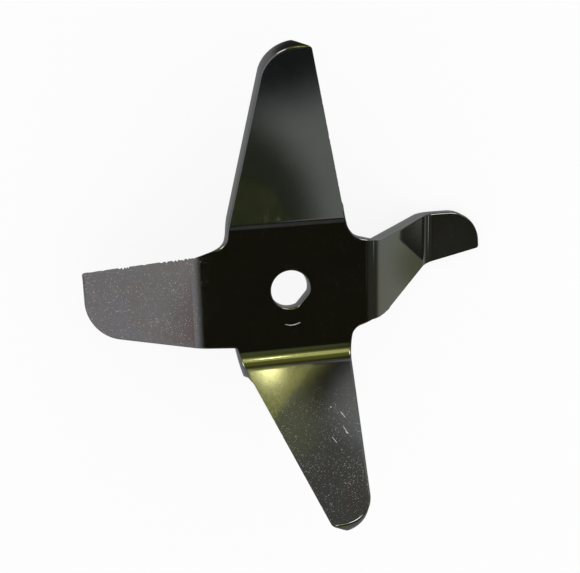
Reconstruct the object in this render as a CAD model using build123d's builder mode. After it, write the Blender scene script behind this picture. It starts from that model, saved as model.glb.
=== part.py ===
from build123d import *
from dataclasses import dataclass
from math import atan, atan2, cos, degrees, radians, tan
import os

# A four-wing meat grinder knife, cut, folded and ground from one stainless sheet. Millimetres.
# +Z is the spindle axis. The hub's underside lies at Z = 0, and the origin is the hole's centre.
# A wing is drawn in sheet coordinates: u runs across it, positive on its cutting side, v runs
# outward from the spindle along the flattened sheet, and w runs up through the sheet.

# ------------------------------------------------------------------ driving dimensions
sheet = 2.5                  # sheet thickness

hole_diameter = 8.0
hole_across_flat = 7.6       # from the hole's round side to its driving flat
hole_flat_turn = -41.0       # direction of the flat, in degrees about +Z from +X

bevel_width = 3.2            # ground bevel on the underside, square to the cutting edge
wheel_radius = 5.0           # radius of the bevel's run-out beside a fold

tip_radius = 6.7             # round from a rising wing's back into its end
side_tip_radius = 7.7        # the same on the east and west wings
point_radius = 0.8           # corner between a wing's end and its cutting edge
shoulder_angle = 17.0        # slope of the hub's shoulder down to a side wing
shoulder_radius = 2.6        # inner corner between a shoulder and the next wing
sweep_radius = 4.7           # large inner corner, north wing to east wing
notch_radius = 0.6           # tight inner corner, south wing to west wing

north_hub_reach = 12.5       # from the spindle axis to the start of the fold
north_rise_angle = 28.0      # above the hub
north_fold_radius = 4.5      # on the inside of the fold
north_back_root = 12.65      # half-width on the back's side at the start of the fold
north_back_tip = 7.55        # the same where the wing ends, before its corner is rounded
north_cut_root = 12.25       # half-width on the cutting side at the start of the fold
north_cut_tip = 0.7          # the same where the wing ends
north_grind = 0.15           # how far the grinding sets the edge back from the blank
north_grind_clear = 1.3      # from the start of the fold to the start of the bevel's run-out
north_length = 53.85         # from the spindle axis, along the sheet

east_hub_reach = 15.85
east_drop_angle = 49.0       # below the hub
east_fold_radius = 3.0
east_back_root = 8.55
east_back_tip = 8.55
east_cut_root = 9.9
east_cut_tip = 0.55
east_grind = 0.15
east_grind_clear = 5.55
east_land = 8.35             # half-width that the blank keeps before the cutting edge starts
east_shoulder_run = 2.05     # how far the hub's shoulder runs on past the start of the fold
east_sweep_root = 9.4        # half-width at the foot of the large inner corner
east_step_length = 24.75     # the flat between the wing's two folds
east_second_fold_radius = 4.0
east_level_length = 11.4     # the flat beyond the second fold

south_hub_reach = 12.15
south_rise_angle = 57.0
south_fold_radius = 4.5
south_back_root = 13.05
south_back_tip = 7.35
south_cut_root = 11.6
south_cut_tip = 1.0
south_grind = 0.3
south_grind_clear = 3.55
south_length = 53.85

west_hub_reach = 17.3
west_drop_angle = 22.0
west_fold_radius = 6.0
west_back_root = 11.1
west_back_tip = 8.8
west_cut_root = 8.75
west_cut_tip = 4.75
west_grind = 0.1
west_grind_clear = -5.3      # on the hub, so that the bevel passes under the shoulder
west_land = 8.2
west_shoulder_run = 2.1
west_length = 43.05

fold_steps = 6               # sections that a fold is lofted through, less one


# ------------------------------------------------------------------ sheet geometry
@dataclass
class Wing:
    """A wing's blank, its first fold and its ground edge, in sheet coordinates."""
    turn: float              # degrees about +Z from the north wing
    fold_start: float
    rise: float              # fold angle in degrees, positive upward
    fold_radius: float
    back_root: float
    back_tip: float
    cut_root: float
    cut_tip: float
    grind: float
    grind_clear: float
    length: float
    tip_radius: float
    land: float = None
    shoulder_run: float = None
    sweep_root: float = None

    @property
    def setback(self):
        return fold_setback(self.rise, self.fold_radius)

    @property
    def fold_at(self):
        """Where the upper faces of the hub and the wing would meet."""
        return self.fold_start + self.setback

    @property
    def fold_end(self):
        return self.fold_start + 2 * self.setback

    @property
    def grind_start(self):
        return self.fold_start + self.grind_clear

    @property
    def cut_slope(self):
        return (self.cut_root - self.cut_tip) / (self.length - self.fold_start)

    @property
    def land_end(self):
        return self.fold_start + (self.cut_root - self.land) / self.cut_slope

    @property
    def hub_frame(self):
        return Plane.XY.rotated((0, 0, self.turn))

    def straight_back(self, v):
        slope = (self.back_root - self.back_tip) / (self.length - self.fold_start)
        return self.back_root - (v - self.fold_start) * slope

    def straight_cut(self, v):
        return self.cut_root - (v - self.fold_start) * self.cut_slope

    def back(self, v):
        """Half-width on the back's side, which widens in the fold beside a large corner."""
        straight = self.straight_back(v)
        if self.sweep_root is None or v >= self.fold_end:
            return straight
        share = (self.fold_end - v) / (self.fold_end - self.fold_start)
        return straight + share * (self.sweep_root - straight)

    def shoulder(self, v):
        """Half-width along the hub's shoulder, or nothing where the hub has none."""
        if self.land is None:
            return 0
        shoulder_end = self.fold_start + self.shoulder_run
        return self.land + (shoulder_end - v) * tan(radians(shoulder_angle))

    def cut(self, v):
        """Half-width of the blank on the cutting side: the shoulder, the land, then the edge."""
        if self.land is None:
            return self.straight_cut(v)
        return max(self.shoulder(v), min(self.land, self.straight_cut(v)))

    def ground(self, v):
        """The ground edge: its half-width on the upper face and its angle in degrees."""
        edge_angle = atan(self.cut_slope)
        straight = self.straight_cut(v) - self.grind / cos(edge_angle)
        if self.shoulder(v) > straight:
            return self.shoulder(v), shoulder_angle
        return straight, degrees(edge_angle)

    def on_hub(self, u, v):
        return tuple(self.hub_frame.from_local_coords(Vector(u, v)))[:2]


def fold_setback(angle, inside_radius):
    """From a fold's virtual corner to the end of its arc, along the upper face."""
    upper_radius = inside_radius if angle > 0 else inside_radius + sheet
    return upper_radius * tan(radians(abs(angle) / 2))


def swung(frame, v, w, angle):
    """The sheet frame swung upward by an angle about the line across the wing at (v, w)."""
    return Plane(frame.location * Pos(0, v, w) * Rot(angle, 0, 0) * Pos(0, -v, -w))


def ground_section(wing, v):
    """The sheet's section across a wing with its bevel, as (u, w) corners."""
    edge, angle = wing.ground(v)
    bevel_foot = edge - bevel_width / cos(radians(angle))
    back = -wing.back(v)
    return [(back, 0), (bevel_foot, 0), (edge, sheet), (back, sheet)]


def plain_section(wing, v):
    """The sheet's section across a wing before its bevel starts, as (u, w) corners."""
    return [(-wing.back(v), 0), (wing.cut(v), 0), (wing.cut(v), sheet), (-wing.back(v), sheet)]


def make_fold(wing, frame, start, angle, inside_radius, section):
    """The curved sheet of one fold, lofted through sections that follow the blank's edges."""
    setback = fold_setback(angle, inside_radius)
    centre_height = sheet + inside_radius if angle > 0 else -inside_radius
    with BuildPart() as fold:
        for step in range(fold_steps + 1):
            share = step / fold_steps
            turned = swung(frame, start, centre_height, angle * share)
            across = Plane(turned.location * Pos(0, start, 0) * Rot(90, 0, 0))
            with BuildSketch(across):
                Polygon(*section(wing, start + 2 * setback * share), align=None)
        loft()
    return fold.part


def make_bevel_cutter(wing, frame, start, run_out):
    """What grinding takes off: all beyond the bevel's slope through the edge at v = start."""
    edge, angle = wing.ground(start)
    slope_angle = degrees(atan2(sheet, bevel_width))
    on_edge = Pos(edge, start, sheet) * Rot(0, 0, angle)
    slope = Plane(frame.location * on_edge * Rot(0, -slope_angle, 0))
    with BuildPart() as cutter:
        with Locations(slope):
            Box(4 * bevel_width, 2 * wing.length, 2 * wheel_radius,
                align=(Align.CENTER, Align.MIN if run_out else Align.CENTER, Align.MAX))
        if run_out:
            fillet(cutter.edges().sort_by_distance(slope.origin)[0], wheel_radius)
    return cutter.part


def make_flat(wing, frame, start, end):
    """A flat length of wing, before grinding, from v = start to v = end."""
    corners = [(-wing.back(start), start), (wing.cut(start), start)]
    if wing.land and start < wing.land_end < end:
        corners.append((wing.land, wing.land_end))
    corners += [(wing.cut(end), end), (-wing.back(end), end)]
    with BuildPart() as flat:
        with BuildSketch(frame) as outline:
            Polygon(*corners, align=None)
            if end == wing.length:
                end_corners = outline.vertices().group_by(Axis.Y)[-1].sort_by(Axis.X)
                fillet(end_corners[0], wing.tip_radius)
                end_corners = outline.vertices().sort_by_distance((wing.cut(end), end))
                fillet(end_corners[0], point_radius)
        extrude(amount=sheet)
    return flat.part


def make_rising_wing(wing):
    """The north or south wing: a fold, a flat blade, and a bevel that runs out by the fold."""
    frame = swung(wing.hub_frame, wing.fold_at, sheet, wing.rise)
    with BuildPart() as blade:
        add(make_fold(wing, wing.hub_frame, wing.fold_start, wing.rise, wing.fold_radius,
                      plain_section))
        add(make_flat(wing, frame, wing.fold_end, wing.length))
        add(make_bevel_cutter(wing, frame, wing.grind_start, True), mode=Mode.SUBTRACT)
    return blade.part


# ------------------------------------------------------------------ the four wings
north = Wing(0, north_hub_reach, north_rise_angle, north_fold_radius,
             north_back_root, north_back_tip, north_cut_root, north_cut_tip,
             north_grind, north_grind_clear, north_length, tip_radius)

# The east wing steps down and then turns level again, so it is made of two folds and two flats.
first_span = 2 * fold_setback(-east_drop_angle, east_fold_radius)
second_span = 2 * fold_setback(east_drop_angle, east_second_fold_radius)
step_end = east_hub_reach + first_span + east_step_length
level_start = step_end + second_span
east_length = level_start + east_level_length
east = Wing(-90, east_hub_reach, -east_drop_angle, east_fold_radius,
            east_back_root, east_back_tip, east_cut_root, east_cut_tip,
            east_grind, east_grind_clear, east_length, side_tip_radius,
            east_land, east_shoulder_run, east_sweep_root)

south = Wing(180, south_hub_reach, south_rise_angle, south_fold_radius,
             south_back_root, south_back_tip, south_cut_root, south_cut_tip,
             south_grind, south_grind_clear, south_length, tip_radius)
west = Wing(90, west_hub_reach, -west_drop_angle, west_fold_radius,
            west_back_root, west_back_tip, west_cut_root, west_cut_tip,
            west_grind, west_grind_clear, west_length, side_tip_radius,
            west_land, west_shoulder_run)

east_step = swung(east.hub_frame, east.fold_at, sheet, east.rise)
east_level = swung(east_step, (step_end + level_start) / 2, sheet, -east.rise)

with BuildPart() as east_inner:
    add(make_flat(east, east_step, east.fold_end, step_end))
    add(make_bevel_cutter(east, east_step, east.grind_start, True), mode=Mode.SUBTRACT)
    add(make_fold(east, east.hub_frame, east.fold_start, east.rise, east.fold_radius,
                  plain_section))

with BuildPart() as east_outer:
    add(make_flat(east, east_level, level_start, east.length))
    add(make_bevel_cutter(east, east_level, step_end, False), mode=Mode.SUBTRACT)
    add(make_fold(east, east_step, step_end, -east.rise, east_second_fold_radius,
                  ground_section))

# The west wing's bevel carries on through its fold and under the hub's shoulder.
west_blade_frame = swung(west.hub_frame, west.fold_at, sheet, west.rise)
with BuildPart() as west_blade:
    add(make_flat(west, west_blade_frame, west.fold_end, west.length))
    add(make_bevel_cutter(west, west_blade_frame, west.fold_end, False), mode=Mode.SUBTRACT)
    add(make_fold(west, west.hub_frame, west.fold_start, west.rise, west.fold_radius,
                  ground_section))


# ------------------------------------------------------------------ the hub plate
def root(wing, side):
    """The end of a wing's back or cutting edge where its fold starts, seen from above."""
    half = -wing.back(wing.fold_start) if side == "back" else wing.cut(wing.fold_start)
    return wing.on_hub(half, wing.fold_start)


def inward(wing, side):
    """The line that a wing's back or cutting edge follows across the hub."""
    inner = wing.fold_start - sheet
    half = -wing.straight_back(inner) if side == "back" else wing.cut(inner)
    foot = Vector(*root(wing, side))
    return Axis(foot, Vector(*wing.on_hub(half, inner)) - foot)


def corner(cut_wing, back_wing):
    """Where one wing's cutting side would meet the next wing's back."""
    return inward(cut_wing, "cut").intersect(inward(back_wing, "back"))


south_east = corner(east, south)
south_west = corner(south, west)
north_west = corner(west, north)

with BuildPart() as hub:
    with BuildSketch() as plate:
        with BuildLine():
            Line(root(north, "back"), root(north, "cut"))
            RadiusArc(root(north, "cut"), root(east, "back"), -sweep_radius)
            Polyline(root(east, "back"), root(east, "cut"), south_east,
                     root(south, "back"), root(south, "cut"), south_west,
                     root(west, "back"), root(west, "cut"), north_west, root(north, "back"))
        make_face()
        for point, radius in (
            (south_east, shoulder_radius),
            (north_west, shoulder_radius),
            (south_west, notch_radius),
        ):
            fillet(plate.vertices().sort_by_distance(point)[0], radius)
    extrude(amount=sheet)
    add(make_bevel_cutter(west, west.hub_frame, west.grind_start, True), mode=Mode.SUBTRACT)
    with BuildSketch(Plane.XY.rotated((0, 0, hole_flat_turn))):
        Circle(hole_diameter / 2)
        with Locations((-hole_diameter / 2, 0)):
            Rectangle(hole_across_flat, hole_diameter, align=(Align.MIN, Align.CENTER),
                      mode=Mode.INTERSECT)
    extrude(amount=sheet, mode=Mode.SUBTRACT)

with BuildPart() as knife:
    add(hub.part)
    add(make_rising_wing(north))
    add(east_inner.part)
    add(east_outer.part)
    add(make_rising_wing(south))
    add(west_blade.part)

knife.part.label = "knife"
os.makedirs("parts", exist_ok=True)
export_step(knife.part, "parts/knife.step")
print("solids", len(knife.solids()), "volume", round(knife.part.volume, 1),
      "valid", knife.part.is_valid)
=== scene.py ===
from dataclasses import dataclass
from math import acos, atan2, cos, hypot, radians, sin, tan

import bmesh
import bpy
import numpy as np
from mathutils import Matrix, Vector


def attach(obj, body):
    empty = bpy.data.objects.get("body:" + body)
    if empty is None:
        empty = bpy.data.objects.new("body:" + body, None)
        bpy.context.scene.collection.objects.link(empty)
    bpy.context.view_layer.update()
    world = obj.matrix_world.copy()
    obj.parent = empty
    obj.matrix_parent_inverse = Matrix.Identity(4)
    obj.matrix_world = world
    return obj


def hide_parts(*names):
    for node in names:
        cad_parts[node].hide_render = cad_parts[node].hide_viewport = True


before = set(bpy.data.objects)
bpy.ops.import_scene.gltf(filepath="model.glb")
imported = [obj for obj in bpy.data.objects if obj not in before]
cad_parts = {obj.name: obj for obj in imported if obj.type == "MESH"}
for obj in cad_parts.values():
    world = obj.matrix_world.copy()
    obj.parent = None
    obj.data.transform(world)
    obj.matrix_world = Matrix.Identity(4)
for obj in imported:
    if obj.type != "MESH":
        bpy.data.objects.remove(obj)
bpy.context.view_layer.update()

# ---------------------------------------------------------------------------------------------
# The knife: one piece of 2.5 mm stainless sheet, punched out with four wings round a hub. Each
# wing's leading edge is then ground to a bevel on the underside, and last the wings are folded.
# Sizes are in millimetres. u runs across a wing towards its cutting edge, v outward along it.
# ---------------------------------------------------------------------------------------------
SHEET = 2.5
BEVEL_WIDTH = 3.2
BEVEL_COS = BEVEL_WIDTH / hypot(SHEET, BEVEL_WIDTH)
WHEEL_RADIUS = 5.0               # grinding wheel, as it leaves a bevel near the hub
EDGE_LAND = 0.07                 # what thickness a used cutting edge keeps
POINT_RADIUS = 0.8
SHOULDER_SLOPE = tan(radians(17.0))
FOLD_FACES = 28                  # rows of faces along each fold
END_ROWS = 40                    # rows of points round a wing's end
FOOT_BEHIND = 0.3                # least share of a wing's width behind the bevel's lower line
FOOT_BEFORE = 0.08               # and before it


def fold_span(angle, inside_radius):
    """Length that a fold takes along the sheet's flats: two tangents of its upper face's arc,
    each its radius times the tangent of half the angle."""
    upper_radius = inside_radius if angle > 0 else inside_radius + SHEET
    return 2 * upper_radius * tan(radians(abs(angle) / 2))


@dataclass
class Wing:
    """One wing of the flat blank, with its grind and the folds that bend it."""
    turn: float                  # degrees about the spindle from the north wing
    folds: list                  # start along v, degrees upward and inside radius of each fold
    back_root: float             # half-widths at the first fold and at the wing's end
    back_tip: float
    cut_root: float
    cut_tip: float
    grind: float                 # how far grinding sets the edge back from the blank
    grind_start: float
    length: float
    tip_radius: float
    step: float = 0.3            # spacing of the rows of faces
    nicks: tuple = ()            # place along v, depth and half-length of each nick in the edge
    land: float = 0.0            # half-width of the level land outside the shoulder, if any
    shoulder_end: float = 0.0
    sweep_root: float = 0.0      # half-width of the back where a large inner corner meets it

    @property
    def root(self):
        """Place along v where the wing begins: its first fold."""
        return self.folds[0][0]

    @property
    def back_slope(self):
        """What the back's half-width loses for each millimetre outward."""
        return (self.back_root - self.back_tip) / (self.length - self.root)

    @property
    def cut_slope(self):
        """What the cutting side's half-width loses for each millimetre outward."""
        return (self.cut_root - self.cut_tip) / (self.length - self.root)

    def straight_back(self, v):
        """Half-width to the back as one straight line from the root."""
        return self.back_root - (v - self.root) * self.back_slope

    def back(self, v):
        """Half-width to the back: a straight line, widened in the fold beside a large inner
        corner, that turns into the wing's end along a circle touching both."""
        half = self.straight_back(v)
        if self.sweep_root:
            fold_end = self.root + fold_span(*self.folds[0][1:])
            share = np.clip((fold_end - v) / (fold_end - self.root), 0, 1)
            half = half + share * (self.sweep_root - half)
        tilt = atan2(self.back_slope, 1)
        centre = self.length - self.tip_radius
        inner = self.straight_back(centre) - self.tip_radius / cos(tilt)
        reach = np.clip(v - centre, 0, self.tip_radius)
        arc = inner + np.sqrt(self.tip_radius ** 2 - reach ** 2)
        return np.where(v > centre + self.tip_radius * sin(tilt), arc, half)

    def shoulder(self, v):
        """Half-width along the slope that joins the hub's side to the wing: the land's, and the
        distance left to the shoulder's end times the slope."""
        return self.land + (self.shoulder_end - v) * SHOULDER_SLOPE if self.land else 0 * v

    def blank(self, v):
        """Half-width to the cutting side before grinding: shoulder, level land, straight line."""
        line = self.cut_root - (v - self.root) * self.cut_slope
        if not self.land:
            return line
        return np.maximum(self.shoulder(v), np.minimum(self.land, line))

    def ground(self, v):
        """Half-width to the line where the bevel's plane meets the upper face: the blank's
        straight line, set back by the grind at right angles to it."""
        line = self.cut_root - (v - self.root) * self.cut_slope
        line = line - self.grind * hypot(1, self.cut_slope)
        return np.maximum(self.shoulder(v), line) if self.grind_start < self.root else line

    def lift(self, v):
        """How far the grinding wheel, leaving along its own radius, stands off the bevel: the
        radius less the circle's height, over the cosine of the bevel."""
        short = np.clip(WHEEL_RADIUS - (v - self.grind_start), 0, WHEEL_RADIUS)
        return (WHEEL_RADIUS - np.sqrt(WHEEL_RADIUS ** 2 - short ** 2)) / BEVEL_COS

    def cut(self, v):
        """Half-width to the cutting edge: the blank's line, or the bevel's where that is inside
        it, less a bell curve for each nick, with a small round at the wing's point."""
        edge = np.minimum(self.blank(v), self.ground(v) + self.lift(v) * BEVEL_WIDTH / SHEET)
        for place, depth, half_length in self.nicks:
            edge = edge - depth * np.exp(-((v - place) / half_length) ** 4)
        centre = self.length - POINT_RADIUS
        inner = float(self.ground(centre)) - POINT_RADIUS * hypot(1, self.cut_slope)
        reach = np.clip(v - centre, 0, POINT_RADIUS)
        arc = inner + np.sqrt(POINT_RADIUS ** 2 - reach ** 2)
        return np.where(v > centre + POINT_RADIUS * self.cut_slope, np.minimum(arc, edge), edge)

    def underside(self, u, v):
        """Height of the underside: zero, or the bevel's plane, which rises by the sheet's
        thickness over the bevel's width, less the wheel's lift."""
        plane = SHEET * (1 - (self.ground(v) - u) / BEVEL_WIDTH) - self.lift(v)
        return np.clip(plane, 0, SHEET - EDGE_LAND)

    def foot(self, v):
        """Half-width to the bevel's lower line, kept between the wing's two sides."""
        foot = self.ground(v) - BEVEL_WIDTH * (1 - self.lift(v) / SHEET)
        back, cut = -self.back(v), self.cut(v)
        width = cut - back
        return np.clip(foot, back + FOOT_BEHIND * width, cut - FOOT_BEFORE * width)

    def stations(self):
        """Places along v for the rows of faces: even on the flats, close in the folds, and at
        equal angles round the wing's end. Places that fall together are kept once."""
        rows = []
        at = self.root
        for start, angle, radius in self.folds:
            end = start + fold_span(angle, radius)
            rows.append(np.linspace(at, start, max(int((start - at) / self.step), 1) + 1)[:-1])
            rows.append(np.linspace(start, end, FOLD_FACES + 1)[:-1])
            at = end
        tilt = atan2(self.back_slope, 1)
        centre = self.length - self.tip_radius
        round_start = centre + self.tip_radius * sin(tilt)
        rows.append(np.linspace(at, round_start, int((round_start - at) / self.step) + 1)[:-1])
        angles = np.linspace(tilt, radians(90), END_ROWS)
        rows.append(centre + self.tip_radius * np.sin(angles))
        rows = np.concatenate(rows)
        return rows[np.append(True, np.diff(rows) > 1e-6)]

    def own(self, flat):
        """Places on the flat blank as the wing's own u and v, turned back by its angle."""
        turn = radians(self.turn)
        u = flat[..., 0] * cos(turn) + flat[..., 1] * sin(turn)
        v = flat[..., 1] * cos(turn) - flat[..., 0] * sin(turn)
        return u, v

    def on_blank(self, u, v):
        """A wing's own u and v as places on the flat blank, seen from above."""
        turn = radians(self.turn)
        return np.stack([u * cos(turn) - v * sin(turn), u * sin(turn) + v * cos(turn)], -1)

    def folded(self, flat, w):
        """The sheet's points bent into place. Inside a fold a point turns about the fold's axis
        by its share of the angle, and beyond it all turn by the whole angle about the line where
        the two upper faces would meet. The outermost fold is bent first."""
        u, v = self.own(flat)
        for start, degrees_up, radius in reversed(self.folds):
            span = fold_span(degrees_up, radius)
            rise = radians(degrees_up)
            axis = SHEET + radius if rise > 0 else -radius
            angle = rise * np.clip((v - start) / span, 0, 1)
            fold_v = start - (w - axis) * np.sin(angle)
            fold_w = axis + (w - axis) * np.cos(angle)
            out, up = v - start - span / 2, w - SHEET
            past_v = start + span / 2 + out * cos(rise) - up * sin(rise)
            past_w = SHEET + out * sin(rise) + up * cos(rise)
            in_fold, past_fold = v > start, v > start + span
            v = np.where(in_fold, np.where(past_fold, past_v, fold_v), v)
            w = np.where(in_fold, np.where(past_fold, past_w, fold_w), w)
        return np.concatenate([self.on_blank(u, v), w[..., None]], -1)


def knocks(seed, start, end, count, depth, half_length):
    """Nicks of a used edge at evenly random places. Their random sizes are squared, which leaves
    most of them small."""
    random = np.random.default_rng(seed)
    places = random.uniform(start, end, count)
    sizes = random.uniform(0.25, 1, count) ** 2
    return tuple(zip(places, depth * sizes, half_length * random.uniform(0.4, 1, count)))


NORTH = Wing(
    turn=0, folds=[(12.5, 28.0, 4.5)], length=53.85, tip_radius=6.7,
    back_root=12.65, back_tip=7.55, cut_root=12.25, cut_tip=0.7,
    grind=0.15, grind_start=13.8,
    nicks=knocks(seed=3, start=20, end=50, count=9, depth=0.07, half_length=0.4),
)
# The east wing is a step: folded down beside the hub, a steep stretch, and folded up to level.
STEP_DOWN = (15.85, -49.0, 3.0)
STEEP_LENGTH = 24.75
LEVEL_LENGTH = 11.4
step_up_start = STEP_DOWN[0] + fold_span(*STEP_DOWN[1:]) + STEEP_LENGTH
STEP_UP = (step_up_start, 49.0, 4.0)
EAST = Wing(
    turn=-90, folds=[STEP_DOWN, STEP_UP],
    length=step_up_start + fold_span(*STEP_UP[1:]) + LEVEL_LENGTH, tip_radius=7.7,
    back_root=8.55, back_tip=8.55, cut_root=9.9, cut_tip=0.55,
    grind=0.15, grind_start=21.4, land=8.35, shoulder_end=17.9, sweep_root=9.4,
    nicks=knocks(seed=5, start=24, end=56, count=7, depth=0.06, half_length=0.4),
)
SOUTH = Wing(
    turn=180, folds=[(12.15, 57.0, 4.5)], length=53.85, tip_radius=6.7,
    back_root=13.05, back_tip=7.35, cut_root=11.6, cut_tip=1.0,
    grind=0.3, grind_start=15.7,
    nicks=knocks(seed=8, start=20, end=50, count=8, depth=0.06, half_length=0.4),
)
# The west wing's edge is the most worn: larger nicks first, then small ones.
WEST_NICKS = (
    (34.9, 0.2, 0.24), (34.2, 0.45, 0.18), (33.6, 0.26, 0.2), (33.1, 0.34, 0.15),
    (29.6, 0.08, 0.3), (26.1, 0.16, 0.3), (25.1, 0.26, 0.16), (23.6, 0.2, 0.2),
    (22.9, 0.34, 0.18), (22.2, 0.18, 0.16), (21.6, 0.3, 0.2), (20.7, 0.22, 0.2),
    (20.1, 0.14, 0.15), (38.4, 0.08, 0.4), (41.2, 0.05, 0.3),
)
WEST = Wing(
    turn=90, folds=[(17.3, -22.0, 6.0)], length=43.05, tip_radius=7.7,
    back_root=11.1, back_tip=8.8, cut_root=8.75, cut_tip=4.75,
    grind=0.1, grind_start=12.0, land=8.2, shoulder_end=19.4, step=0.13,
    nicks=WEST_NICKS + knocks(seed=12, start=19.5, end=42, count=20, depth=0.045,
                              half_length=0.5),
)
WINGS = [NORTH, EAST, SOUTH, WEST]
HUB = len(WINGS)                 # the hub's number, next to the wings' own


def unit(vector):
    """A vector over its length."""
    return vector / np.linalg.norm(vector, axis=-1, keepdims=True)


def side_line(wing, side):
    """The end of a wing's side at its fold, and the direction it carries on in across the hub:
    from there to the side's place one sheet's thickness nearer the spindle."""
    v = np.array([wing.root, wing.root - SHEET])
    half = wing.blank(v) if side == "cut" else -wing.straight_back(v)
    if side == "back" and wing.sweep_root:
        half = -np.array([wing.sweep_root] * 2)
    points = wing.on_blank(half, v)
    return points[0], unit(points[1] - points[0])


CORNER_POINTS = 15               # along the arc of a corner
STRAIGHT_STEP = 0.4              # between points of the straight lines beside it


def rim_between(start, first, last, end, centre, radius):
    """A straight line from start to first, the short way round an arc to last, then straight on
    to end. The two ends themselves belong to the wings. Places together are kept once."""
    first_angle, last_angle = (atan2(*(point - centre)[::-1]) for point in (first, last))
    sweep = (last_angle - first_angle + np.pi) % (2 * np.pi) - np.pi
    angles = first_angle + sweep * np.linspace(0, 1, CORNER_POINTS)
    arc = centre + radius * np.stack([np.cos(angles), np.sin(angles)], -1)
    lines = []
    for near, far in ((start, first), (last, end)):
        count = max(int(np.linalg.norm(far - near) / STRAIGHT_STEP), 1)
        lines.append(near + (far - near) * np.linspace(0, 1, count + 1)[:, None])
    path = np.concatenate([lines[0][:-1], arc, lines[1][1:]])
    keep = np.append(True, np.linalg.norm(np.diff(path, axis=0), axis=1) > 1e-5)
    return path[keep][1:-1]


def inner_corner(cut_wing, back_wing, radius):
    """The hub's rim between two wings: both sides carried on, joined by an arc tangent to both.
    The arc's centre lies off the crossing, along the bisector, by radius / sin(half the angle)."""
    start, inward = side_line(cut_wing, "cut")
    end, outward = side_line(back_wing, "back")
    run = np.linalg.solve(np.stack([inward, -outward], 1), end - start)[0]
    crossing = start + inward * run
    half = acos(np.clip(np.dot(inward, outward), -1, 1)) / 2
    centre = crossing - unit(inward + outward) * radius / sin(half)
    tangent = radius / tan(half)
    first, last = crossing - inward * tangent, crossing - outward * tangent
    return rim_between(start, first, last, end, centre, radius)


def sweep_corner(cut_wing, back_wing, radius):
    """The hub's rim between two wings where it is one arc through the ends of both sides. Its
    centre lies off the chord's middle by the root of radius squared less (chord / 2) squared."""
    start, end = side_line(cut_wing, "cut")[0], side_line(back_wing, "back")[0]
    chord = end - start
    outward = unit(np.array([-chord[1], chord[0]]))
    centre = (start + end) / 2 + outward * np.sqrt(radius ** 2 - np.dot(chord, chord) / 4)
    return rim_between(start, start, end, end, centre, radius)


# The whole rim, once round the blank clockwise: up each wing's back, across its end, down its
# cutting edge, and round the hub's inner corner to the next wing.
ACROSS = 24                      # faces across a wing
CORNERS = [
    sweep_corner(NORTH, EAST, radius=4.7),
    inner_corner(EAST, SOUTH, radius=2.6),
    inner_corner(SOUTH, WEST, radius=0.6),
    inner_corner(WEST, NORTH, radius=2.6),
]
rim_stretches = []
rim_owners = []                  # the wing's number, or the hub's, at each point
for part, (wing, corner) in enumerate(zip(WINGS, CORNERS)):
    v = wing.stations()
    ends = np.linspace(-wing.back(v[-1]), wing.cut(v[-1]), ACROSS + 1)[1:-1]
    around_u = np.concatenate([-wing.back(v), ends, wing.cut(v)[::-1]])
    around_v = np.concatenate([v, np.full(ACROSS - 1, v[-1]), v[::-1]])
    rim_stretches += [wing.on_blank(around_u, around_v), corner]
    rim_owners += [np.full(len(around_u), part), np.full(len(corner), HUB)]
rim = np.concatenate(rim_stretches)
rim_part = np.concatenate(rim_owners)
rim_starts = np.concatenate([[0], np.cumsum([len(stretch) for stretch in rim_stretches])])
before, after = np.roll(rim, 1, 0), np.roll(rim, -1, 0)
tangent = unit(unit(rim - before) + unit(after - rim))
rim_normal = np.stack([-tangent[:, 1], tangent[:, 0]], -1)

RUN_OUT = 1.2                    # how far past its ground line the west bevel has faded out
RUN_OUT_FADE = 0.6               # and over what width


def hub_underside(flat):
    """Height of the hub's underside: zero, but for the west wing's bevel, which runs out beneath
    the shoulder. Past its ground line the bevel's height is faded to nothing."""
    u, v = flat[..., 1], -flat[..., 0]
    near = np.clip((WEST.ground(v) + RUN_OUT - u) / RUN_OUT_FADE, 0, 1) * (v > WEST.grind_start)
    return WEST.underside(u, v) * near


def lower_height(flat, part):
    """Height of the underside at places on the blank, for one wing or for the hub."""
    if part == HUB:
        return hub_underside(flat)
    return WINGS[part].underside(*WINGS[part].own(flat))


def rim_height(flat):
    """Height of the underside at one place beside each point of the rim."""
    height = np.zeros(len(flat))
    for part in range(HUB + 1):
        here = rim_part == part
        height[here] = lower_height(flat[here], part)
    return height


# The rim's profile: a flat strip, a quarter round down from the upper face, the wall, a quarter
# round into the underside, and a flat strip. Both rounds shrink where the bevel thins the edge.
ROLL_OVER = 0.40                 # round that punching leaves on the upper rim
ROLL_ANGLES = np.radians([0, 18, 36, 54, 72, 90])
ROLL_SHARE = 0.45                # most that it takes of the wall
BURR_ROUND = 0.10                # deburred rim of the underside
BURR_ANGLES = np.radians([0, 30, 60, 90])
BURR_SHARE = 0.3
STRIP = 0.12
wall = SHEET - rim_height(rim)
upper_round = np.minimum(ROLL_OVER, ROLL_SHARE * wall)
lower_round = np.minimum(BURR_ROUND, BURR_SHARE * wall)
upper_strip = upper_round + np.minimum(STRIP, wall)
lower_strip = lower_round + np.minimum(STRIP, wall)
rings = [(rim - rim_normal * upper_strip[:, None], np.full(len(rim), SHEET))]
for angle in ROLL_ANGLES:
    inset = upper_round * (1 - np.sin(angle))
    rings.append((rim - rim_normal * inset[:, None], SHEET - upper_round * (1 - np.cos(angle))))
for angle in BURR_ANGLES:
    place = rim - rim_normal * (lower_round * (1 - np.cos(angle)))[:, None]
    rings.append((place, rim_height(place) + lower_round * (1 - np.sin(angle))))
place = rim - rim_normal * lower_strip[:, None]
rings.append((place, rim_height(place)))


def fold_rim(flat, height):
    """The rim's points bent into place, each stretch by its own wing. The hub's stay flat."""
    bent = np.concatenate([flat, height[:, None]], 1)
    for part, wing in enumerate(WINGS):
        here = rim_part == part
        bent[here] = wing.folded(flat[here], height[here])
    return bent


BEVEL_FADE = 0.1                 # height over which the ground finish begins


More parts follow.
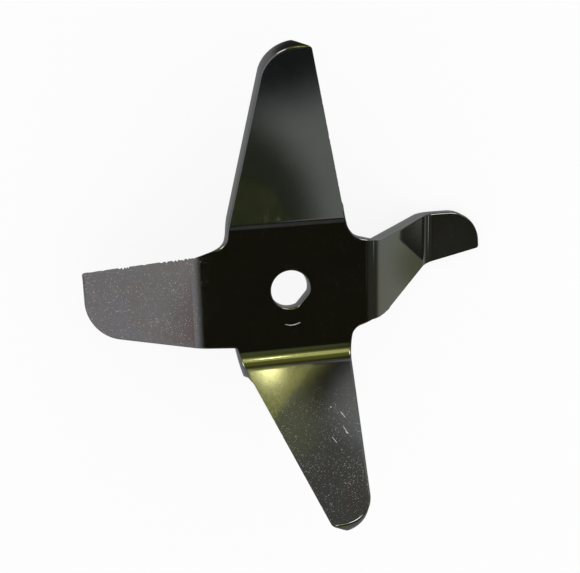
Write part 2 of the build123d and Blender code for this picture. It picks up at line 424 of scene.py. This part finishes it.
def bevel_share(height):
    """How far the underside at a height is the bevel: its share of the fade, at most 1."""
    return np.clip(height / BEVEL_FADE, 0, 1)


def level_finish(height, face):
    """Finish of a face that isn't the wall: never sheared, and ground on the underside alone."""
    return np.stack([0 * height, bevel_share(height) * face], -1)


patches = []                     # each grid's folded points, flat points, finish and side


def add_patch(points, flat, height, finish, flip):
    """Keeps one grid of the surface: its folded points, the same points in the flat blank, and
    how far each lies on the sheared wall (x) or on a ground bevel (y)."""
    blank = np.concatenate([flat, np.broadcast_to(height, flat.shape[:2])[..., None]], -1)
    patches.append((points, blank, np.broadcast_to(finish, flat.shape), flip))


# How far each ring of the profile is sheared wall: strip, roll-over, deburred round and strip.
on_wall = np.array([0] + [0, 0, 0, 0.1, 0.5, 1] + [1, 1, 0.5, 0] + [0])[:, None]
on_underside = np.arange(len(rings))[:, None] >= len(rings) - 2
rim_points = np.stack([fold_rim(flat, height) for flat, height in rings])
rim_blank = np.stack([flat for flat, height in rings])
rim_heights = np.stack([height for flat, height in rings])
rim_bevel = bevel_share(rim_height(rim)) * on_underside
rim_finish = np.stack([np.broadcast_to(on_wall, rim_bevel.shape), rim_bevel], -1)
closed = np.append(np.arange(len(rim)), 0)
add_patch(rim_points[:, closed], rim_blank[:, closed], rim_heights[:, closed],
          rim_finish[:, closed], False)

# Each wing's upper face and underside, spanned between its back and its cutting edge. The
# underside's faces are shared out on both sides of the bevel's lower line.
BEVEL_FACES = 6                  # of the faces across, those on the bevel
FACE_RINGS = (0, -1)             # the profile's rings where the upper face and underside begin
hub_rings = ([], [])             # the same two faces' rim round the hub: folded and flat
for part, wing in enumerate(WINGS):
    v = wing.stations()
    rows = len(v)
    back_start = rim_starts[2 * part]
    cut_start = back_start + rows + ACROSS - 1
    along_back = slice(back_start, back_start + rows)
    along_cut = slice(cut_start, cut_start + rows)
    along_end = slice(back_start + rows - 1, cut_start + 1)
    along_corner = slice(rim_starts[2 * part + 1], rim_starts[2 * part + 2])
    for face, ring in enumerate(FACE_RINGS):
        flat = rings[ring][0]
        back = flat[along_back]
        cut = flat[along_cut][::-1]
        share = np.tile(np.linspace(0, 1, ACROSS + 1), (rows, 1))
        if face:
            width = wing.back(v) + wing.cut(v)
            foot = ((wing.foot(v) + wing.back(v)) / width)[:, None]
            share = np.concatenate([
                foot * np.linspace(0, 1, ACROSS - BEVEL_FACES + 1),
                foot + (1 - foot) * np.linspace(0, 1, BEVEL_FACES + 1)[1:],
            ], 1)
            share[-1] = np.linspace(0, 1, ACROSS + 1)
        grid = back[:, None] + (cut - back)[:, None] * share[..., None]
        height = lower_height(grid, part) if face else np.full(grid.shape[:2], SHEET)
        points = wing.folded(grid, height)
        # The grid's three free sides are the rim's own points.
        edge = rim_points[ring]
        points[:, 0] = edge[along_back]
        points[:, -1] = edge[along_cut][::-1]
        points[-1] = edge[along_end]
        grid[-1] = flat[along_end]
        add_patch(points, grid, height, level_finish(height, face), face == 1)
        hub_rings[face].extend([(points[0], grid[0]), (edge[along_corner], flat[along_corner])])

# The spindle hole: punched round with one flat that drives the knife, and deburred like the
# rim. The hub's two faces run from the hole's rim out to the wings and the inner corners.
HOLE_RADIUS = 4.0
FLAT_DISTANCE = 3.6
FLAT_TURN = radians(-41.0)
HOLE_ROLL = 0.3
HOLE_BURR = 0.15
HUB_FACES = 22                   # faces from the hole's rim out to the hub's
LEAST_COSINE = 0.05              # keeps the flat's reach finite on the hole's far side


def hole_outline(angle, grow):
    """Places round the hole, grown outward: the circle's radius, or the flat's distance over
    the cosine of the angle from it where that is less."""
    reach = (FLAT_DISTANCE + grow) / np.maximum(np.cos(angle - FLAT_TURN), LEAST_COSINE)
    radius = np.minimum(HOLE_RADIUS + grow, reach)
    return radius[:, None] * np.stack([np.cos(angle), np.sin(angle)], -1)


outer = [np.concatenate([flat for points, flat in ring]) for ring in hub_rings]
outer_points = [np.concatenate([points for points, flat in ring]) for ring in hub_rings]
# The hole has a point opposite each of the hub's. Two are moved to where flat and round meet.
around = np.arctan2(outer[0][:, 1], outer[0][:, 0])
for side in (-1, 1):
    at_corner = FLAT_TURN + side * acos(FLAT_DISTANCE / HOLE_RADIUS)
    away = np.abs(np.angle(np.exp(1j * (around - at_corner))))
    around[np.argmin(away)] = at_corner
hole_rings = [(hole_outline(around, HOLE_ROLL + STRIP), SHEET)]
for angle in ROLL_ANGLES:
    grow = HOLE_ROLL * (1 - sin(angle))
    hole_rings.append((hole_outline(around, grow), SHEET - HOLE_ROLL * (1 - cos(angle))))
for angle in BURR_ANGLES:
    grow = HOLE_BURR * (1 - cos(angle))
    hole_rings.append((hole_outline(around, grow), HOLE_BURR * (1 - sin(angle))))
hole_rings.append((hole_outline(around, HOLE_BURR + STRIP), 0.0))
loop = np.append(np.arange(len(around)), 0)
hole_flat = np.stack([flat for flat, height in hole_rings])[:, loop]
hole_height = np.array([height for flat, height in hole_rings])[:, None]
hole_heights = np.broadcast_to(hole_height, hole_flat.shape[:2])
hole_points = np.concatenate([hole_flat, hole_heights[..., None]], -1)
hole_finish = np.stack([on_wall, 0 * on_wall], -1)
add_patch(hole_points, hole_flat, hole_height, hole_finish, True)
for face, ring in enumerate(FACE_RINGS):
    share = np.linspace(0, 1, HUB_FACES + 1)[:, None, None]
    flat = outer[face] + (hole_rings[ring][0] - outer[face]) * share
    height = hub_underside(flat) if face else np.full(flat.shape[:2], SHEET)
    points = np.concatenate([flat, height[..., None]], -1)
    points[0] = outer_points[face]
    finish = level_finish(height, face)
    add_patch(points[:, loop], flat[:, loop], height[:, loop], finish[:, loop], face == 0)

MILLIMETRES = 1000               # in a metre
MERGE_DISTANCE = 2e-7            # metres between points that are one
SHARP_ANGLE = radians(30)


def knife_mesh():
    """One closed mesh from all patches: each grid's cells become faces, and points that
    neighbouring patches share are merged. The flat blank's places stay with the points."""
    vertices, faces, blanks, finishes = [], [], [], []
    count = 0
    for points, blank, finish, flip in patches:
        rows, columns = points.shape[:2]
        index = count + np.arange(rows * columns).reshape(rows, columns)
        cells = [index[:-1, :-1], index[:-1, 1:], index[1:, 1:], index[1:, :-1]]
        faces.append(np.stack(cells[::-1] if flip else cells, -1).reshape(-1, 4))
        vertices.append(points.reshape(-1, 3) / MILLIMETRES)
        blanks.append(blank.reshape(-1, 3) / MILLIMETRES)
        finishes.append(finish.reshape(-1, 2))
        count += rows * columns
    mesh = bpy.data.meshes.new("knife_sheet")
    mesh.from_pydata(np.concatenate(vertices), [], np.concatenate(faces))
    layer = mesh.attributes.new("blank", "FLOAT_VECTOR", "POINT")
    layer.data.foreach_set("vector", np.concatenate(blanks).ravel())
    for column, name in enumerate(("sheared", "ground")):
        layer = mesh.attributes.new(name, "FLOAT", "POINT")
        values = np.concatenate(finishes)[:, column]
        layer.data.foreach_set("value", np.ascontiguousarray(values))
    work = bmesh.new()
    work.from_mesh(mesh)
    bmesh.ops.remove_doubles(work, verts=work.verts, dist=MERGE_DISTANCE)
    work.to_mesh(mesh)
    work.free()
    mesh.polygons.foreach_set("use_smooth", np.ones(len(mesh.polygons), bool))
    mesh.set_sharp_from_angle(angle=SHARP_ANGLE)
    mesh.update()
    return mesh


scene = bpy.context.scene
knife = bpy.data.objects.new("knife_body", knife_mesh())
scene.collection.objects.link(knife)
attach(knife, "root")
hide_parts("knife")


class Signal:
    """A node's output socket. Sums, differences and products of signals add the Math nodes."""

    def __init__(self, tree, socket=None):
        self.tree = tree
        self.socket = socket

    def node(self, kind, settings=None, inputs=None, output=None):
        """Adds a node: its settings first, then the values or links of its sockets."""
        made = self.tree.nodes.new("ShaderNode" + kind)
        for name, value in (settings or {}).items():
            setattr(made, name, value)
        for name, value in (inputs or {}).items():
            sockets = [each for each in made.inputs if each.enabled]
            if isinstance(name, int):
                socket = sockets[name]
            else:
                socket = next(each for each in sockets if each.name == name)
            if isinstance(value, Signal):
                value.feed(socket)
            else:
                socket.default_value = value
        sockets = [each for each in made.outputs if each.enabled]
        if output is None:
            return Signal(self.tree, sockets[0])
        return Signal(self.tree, next(each for each in sockets if each.name == output))

    def feed(self, socket):
        """Links this signal to a node's input."""
        self.tree.links.new(self.socket, socket)

    def math(self, operation, *values):
        """A Math node on two values or signals."""
        return self.node("Math", {"operation": operation}, dict(enumerate(values)))

    def __add__(self, other):
        return self.math("ADD", self, other)

    def __radd__(self, other):
        return self.math("ADD", other, self)

    def __sub__(self, other):
        return self.math("SUBTRACT", self, other)

    def __rsub__(self, other):
        return self.math("SUBTRACT", other, self)

    def __mul__(self, other):
        return self.math("MULTIPLY", self, other)

    def __rmul__(self, other):
        return self.math("MULTIPLY", other, self)

    def smaller(self, other):
        """The smaller of two at each place."""
        return self.math("MINIMUM", self, other)

    def larger(self, other):
        """The larger of two at each place."""
        return self.math("MAXIMUM", self, other)

    def step(self, low, high):
        """0 below low, 1 above high, smooth between them; the other way round if high < low."""
        return self.node("MapRange", {"interpolation_type": "SMOOTHSTEP"},
                         {"Value": self, "From Min": low, "From Max": high})

    def mix(self, colour_a, colour_b):
        """Colour a where this signal is 0, colour b where it is 1."""
        return self.node("Mix", {"data_type": "RGBA"},
                         {"Factor": self, "A": colour_a, "B": colour_b})

    def blend(self, value_a, value_b):
        """Value a where this signal is 0, value b where it is 1."""
        return value_a + self * (value_b - value_a)


def new_material(name):
    """A material with its default nodes, and a signal that adds to them."""
    material = bpy.data.materials.new(name)
    material.use_nodes = True
    return material, Signal(material.node_tree)


def noise(place, size, detail=2.0, rough=0.5, squash=1.0):
    """Noise with grains of a given size in metres, drawn out along the blank's y by squash."""
    place = place.node("Mapping", {"vector_type": "POINT"},
                       {"Vector": place, "Scale": (1 / size, 1 / (size * squash), 1 / size)})
    return place.node("TexNoise", {"noise_dimensions": "3D"},
                      {"Vector": place, "Scale": 1.0, "Detail": detail, "Roughness": rough},
                      output="Fac")


def scratch(place, ends, width):
    """A thin line from one place on the blank to another: 1 on it, 0 past its width. The nearest
    point of the line is found by the dot product with its direction, kept within its length."""
    start, end = (Vector((x, y, SHEET)) / MILLIMETRES for x, y in ends)
    along = end - start
    off = place.node("VectorMath", {"operation": "SUBTRACT"}, {0: place, 1: tuple(start)})
    share = off.node("VectorMath", {"operation": "DOT_PRODUCT"},
                     {0: off, 1: tuple(along / along.length_squared)}, output="Value")
    share = share.larger(0.0).smaller(1.0)
    foot = share.node("VectorMath", {"operation": "SCALE"}, {0: tuple(along), "Scale": share})
    gap = foot.node("VectorMath", {"operation": "DISTANCE"}, {0: off, 1: foot}, output="Value")
    return gap.step(width / MILLIMETRES, 0.3 * width / MILLIMETRES)


def dusty(place):
    """Where the used knife is dusted with fine pits: on the west and south wings, from the places
    across and along the blank, in metres, where their dust begins to where it is full."""
    across = place.node("SeparateXYZ", inputs={"Vector": place}, output="X")
    along = place.node("SeparateXYZ", inputs={"Vector": place}, output="Y")
    west = across.step(-0.015, -0.022)
    south = along.step(-0.018, -0.032)
    return west.larger(south).blend(0.06, 1.0)


# Scratches of use on the upper face: their two ends on the blank, and their width.
SCRATCHES = [
    (((6.85, -29.4), (7.4, -30.69)), 0.13),
    (((6.55, -32.93), (6.85, -33.71)), 0.13),
    (((6.8, -33.99), (7.0, -34.44)), 0.2),
    (((3.8, -35.05), (4.35, -36.28)), 0.11),
    (((5.1, -27.95), (5.2, -27.97)), 0.2),
    (((-1.25, -7.35), (-0.3, -7.64)), 0.09),
    (((-0.3, -7.64), (0.76, -7.59)), 0.14),
    (((0.76, -7.59), (1.83, -7.24)), 0.12),
]

# Stainless steel, rolled, lightly sand-finished and used: a grey metal with fine bright and dark
# grains, dull patches, hairline scratches, rough torn walls and a bevel ground across its edge.
COOL_GREY = (0.405, 0.405, 0.41, 1)
WARM_GREY = (0.415, 0.405, 0.385, 1)
STAIN_BROWN = (0.42, 0.36, 0.33, 1)
steel, paint = new_material("steel")
place = paint.node("Attribute", {"attribute_name": "blank"}, output="Vector")
sheared = paint.node("Attribute", {"attribute_name": "sheared"}, output="Fac")
ground = paint.node("Attribute", {"attribute_name": "ground"}, output="Fac")
grain = noise(place, size=0.00026, detail=3.0, rough=0.6) - 0.5
patch = noise(place, size=0.006, detail=3.0, rough=0.6)
patchy = patch - 0.5
fleck = noise(place, size=0.0003, detail=3.0, rough=0.75) + 0.10 * patchy
cloud = noise(place, size=0.022)
stain = noise(place, size=0.013)
hairline = noise(place, size=0.00018, squash=60).step(0.74, 0.80) * patch.step(0.5, 0.62)
grinding = noise(place, size=0.00015, squash=8) - 0.5
worn = dusty(place)
bright_fleck = fleck.step(0.585, 0.69) * worn
dark_fleck = fleck.step(0.32, 0.24) * worn
marks = 0.0
for ends, width in SCRATCHES:
    marks = scratch(place, ends, width) + marks
# How light the metal is, against its grey.
level = 1.0 + (0.1 + 0.3 * worn) * grain + 0.16 * patchy
level = level + 0.5 * bright_fleck - 0.4 * dark_fleck + 0.2 * hairline + 0.5 * marks
level = level * sheared.blend(1.0, 0.62) * ground.blend(1.0, 1.12)
grey = cloud.step(0.35, 0.65).mix(COOL_GREY, WARM_GREY)
grey = (0.5 * stain.step(0.56, 0.72)).mix(grey, STAIN_BROWN)
colour = paint.node("VectorMath", {"operation": "SCALE"}, {0: grey, "Scale": level})
# Bright grains and scratches scatter light like dust instead of mirroring it.
dust = (0.45 * bright_fleck + 0.8 * marks).smaller(1.0)
roughness = 0.07 + 0.04 * patchy + 0.05 * grain + 0.05 * bright_fleck + 0.2 * marks
roughness = sheared.blend(roughness, 0.32)
roughness = ground.blend(roughness, 0.2 + 0.15 * grinding)
pitting = 0.5 * grain - 0.8 * dark_fleck
bump = paint.node("Bump", inputs={"Strength": 0.09, "Distance": 0.00004, "Height": pitting})
shader = steel.node_tree.nodes["Principled BSDF"]
colour.feed(shader.inputs["Base Color"])
(1.0 - dust).feed(shader.inputs["Metallic"])
roughness.feed(shader.inputs["Roughness"])
bump.feed(shader.inputs["Normal"])
knife.data.materials.append(steel)

# ---------------------------------------------------------------------------------------------
# The floor: a sheet of white card under the knife, wide enough to fill the view. It shows white
# and keeps a soft shadow of the knife. The metal reflects the tent's lowest patch in its place.
# ---------------------------------------------------------------------------------------------
FLOOR_HEIGHT = -0.0222
FLOOR_HALF = 2.0
FLOOR_GLOW = 0.85                # share of plain white in what the camera sees of the card
FLOOR_CORNERS = [(-FLOOR_HALF, -FLOOR_HALF, FLOOR_HEIGHT), (FLOOR_HALF, -FLOOR_HALF, FLOOR_HEIGHT),
                 (FLOOR_HALF, FLOOR_HALF, FLOOR_HEIGHT), (-FLOOR_HALF, FLOOR_HALF, FLOOR_HEIGHT)]
floor_mesh = bpy.data.meshes.new("floor")
floor_mesh.from_pydata(FLOOR_CORNERS, [], [(0, 1, 2, 3)])
floor = bpy.data.objects.new("floor", floor_mesh)
scene.collection.objects.link(floor)
floor.visible_glossy = False
floor_white, paint = new_material("floor_white")
seen = paint.node("LightPath", output="Is Camera Ray")
card = paint.node("BsdfDiffuse", inputs={"Color": (0.9, 0.9, 0.9, 1)})
glow = paint.node("Emission", inputs={"Color": (1, 1, 1, 1), "Strength": 1.0})
shown = paint.node("MixShader", inputs={0: FLOOR_GLOW * seen, 1: card, 2: glow})
shown.feed(floor_white.node_tree.nodes["Material Output"].inputs["Surface"])
floor.data.materials.append(floor_white)

# ---------------------------------------------------------------------------------------------
# The studio: a tent of grey cloth round the knife, whose dark flags, cards, windows and lamp
# are patches of its light. Only the metal's reflections see it: it blocks no view and casts no
# shadow. White light from all sides lights the floor.
# ---------------------------------------------------------------------------------------------
TENT_RADIUS = 0.8
TENT_CUTS = 4
TENT_GREY = (0.24, 0.245, 0.24, 1)
work = bmesh.new()
bmesh.ops.create_icosphere(work, subdivisions=TENT_CUTS, radius=TENT_RADIUS)
bmesh.ops.reverse_faces(work, faces=work.faces)
tent_mesh = bpy.data.meshes.new("tent")
work.to_mesh(tent_mesh)
work.free()
tent = bpy.data.objects.new("tent", tent_mesh)
scene.collection.objects.link(tent)
tent.visible_camera = False
tent.visible_diffuse = False
tent.visible_shadow = False
tent.visible_transmission = False
tent_cloth, paint = new_material("tent_cloth")
direction = paint.node("TexCoord", output="Object")
direction = paint.node("VectorMath", {"operation": "NORMALIZE"}, {0: direction})


def toward(direction, azimuth, elevation, inner, outer):
    """1 within inner degrees of a direction from the knife, falling smoothly to 0 at outer. The
    angle's cosine is the dot product of the two directions."""
    aim = (cos(radians(elevation)) * cos(radians(azimuth)),
           cos(radians(elevation)) * sin(radians(azimuth)), sin(radians(elevation)))
    cosine = direction.node("VectorMath", {"operation": "DOT_PRODUCT"}, {0: direction, 1: aim},
                            output="Value")
    return cosine.step(cos(radians(outer)), cos(radians(inner)))


# Each patch of the tent: azimuth from the east and elevation in degrees, the radius up to which
# it is even and the one where it ends, and its light. Later patches lie over earlier ones.
TENT_PATCHES = [
    (-90, -90, 50, 75, (0.38, 0.39, 0.40, 1)),           # light sent up by the white floor
    (-20, 12, 34, 46, (0.045, 0.046, 0.037, 1)),         # dark flag to the east
    (-15, -30, 13, 44, (0.225, 0.24, 0.205, 1)),         # grey-green card low before it
    (-16.5, -27.8, 0.8, 2.6, (0.12, 0.13, 0.08, 1)),     # a dark spot on that card
    (-74, 22, 10, 22, (0.205, 0.224, 0.217, 1)),         # grey card to the south
    (-50, 72, 29, 37, (0.0137, 0.0129, 0.0072, 1)),      # black flag overhead
    (-165, 42, 8, 43, (0.345, 0.335, 0.345, 1)),         # soft window to the west
    (-150, 50, 1, 5, (0.26, 0.21, 0.205, 1)),            # a darker, warm spot in it
    (-19, 37, 10, 24, (0.045, 0.046, 0.037, 1)),         # the eastern flag's upper part
    (-12, 28, 1, 4.0, (0.42, 0.44, 0.39, 1)),            # small pale card on it
    (-30, 61, 1, 4, (0.036, 0.036, 0.028, 1)),           # faint spot on the flag overhead
    (70, 32, 24, 32, (0.016, 0.017, 0.004, 1)),          # black flag to the north
    (78, -20, 20, 30, (0.01, 0.01, 0.008, 1)),           # and two more below it
    (105, -20, 14, 24, (0.012, 0.012, 0.01, 1)),
    (-84, 21.5, 7.6, 10.6, (0.034, 0.041, 0.027, 1)),    # dark opening in the southern card
    (-76, 44, 12.5, 16.5, (0.017, 0.020, 0.020, 1)),     # black flag above it
    (-72, 47, 4, 13, (0.06, 0.062, 0.06, 1)),            # with a paler middle
    (10, 81, 4, 13, (0.09, 0.113, 0.042, 1)),            # dim green patch overhead
    (68, 5.9, 8.6, 10, (0.145, 0.15, 0.15, 1)),          # four grey cards low in the north
    (70, 2.4, 2, 6.5, (0.27, 0.285, 0.285, 1)),
    (80, 9, 7, 9, (0.10, 0.104, 0.098, 1)),
    (79.5, 1.5, 1, 4.2, (0.17, 0.18, 0.11, 1)),
    (79.5, -6, 4, 6, (0.38, 0.40, 0.13, 1)),             # yellow card under them
    (86, 50, 12, 36, (0.17, 0.18, 0.035, 1)),            # glow round the yellow lamp
    (71, 55, 8, 11.5, (0.74, 0.79, 0.27, 1)),            # the lamp's shade
    (70.7, 56.6, 0.4, 1.0, (20.0, 20.0, 9.0, 1)),        # the lamp itself
    (52, 38, 7, 12, (3.2, 3.2, 3.0, 1)),                 # white window to the north-east
    (128, 42, 8, 14, (3.0, 3.0, 2.8, 1)),                # and to the north-west
]
tent_light = TENT_GREY
for azimuth, elevation, inner, outer, light in TENT_PATCHES:
    tent_light = toward(direction, azimuth, elevation, inner, outer).mix(tent_light, light)
tent_glow = paint.node("Emission", inputs={"Color": tent_light, "Strength": 1.0})
tent_glow.feed(tent_cloth.node_tree.nodes["Material Output"].inputs["Surface"])
tent.data.materials.append(tent_cloth)

world = bpy.data.worlds.new("studio")
scene.world = world
world.use_nodes = True
world.node_tree.nodes["Background"].inputs["Color"].default_value = (1, 1, 1, 1)
world.node_tree.nodes["Background"].inputs["Strength"].default_value = 1.0

# ---------------------------------------------------------------------------------------------
# The camera: it has a rather long lens and looks steeply down from the north-west. It is turned
# about its own axis, so that the right of its view leans a little upward. Its place is in metres.
# ---------------------------------------------------------------------------------------------
CAMERA_PLACE = (-0.043135, 0.057577, 0.192237)
CAMERA_LOOK = (0.21233, -0.28068, -0.93602)
CAMERA_RIGHT = (0.97333, -0.02435, 0.2281)
camera_data = bpy.data.cameras.new("camera")
camera_data.lens = 61.715
camera_data.sensor_width = 36.0
camera_data.sensor_fit = "HORIZONTAL"
camera_data.clip_start = 0.01
camera = bpy.data.objects.new("camera", camera_data)
scene.collection.objects.link(camera)
look = Vector(CAMERA_LOOK).normalized()
right = Vector(CAMERA_RIGHT)
right = (right - look * right.dot(look)).normalized()
aim = Matrix((right, right.cross(look), -look)).transposed().to_4x4()
aim.translation = CAMERA_PLACE
camera.matrix_world = aim
scene.camera = camera
scene.view_settings.view_transform = "Standard"
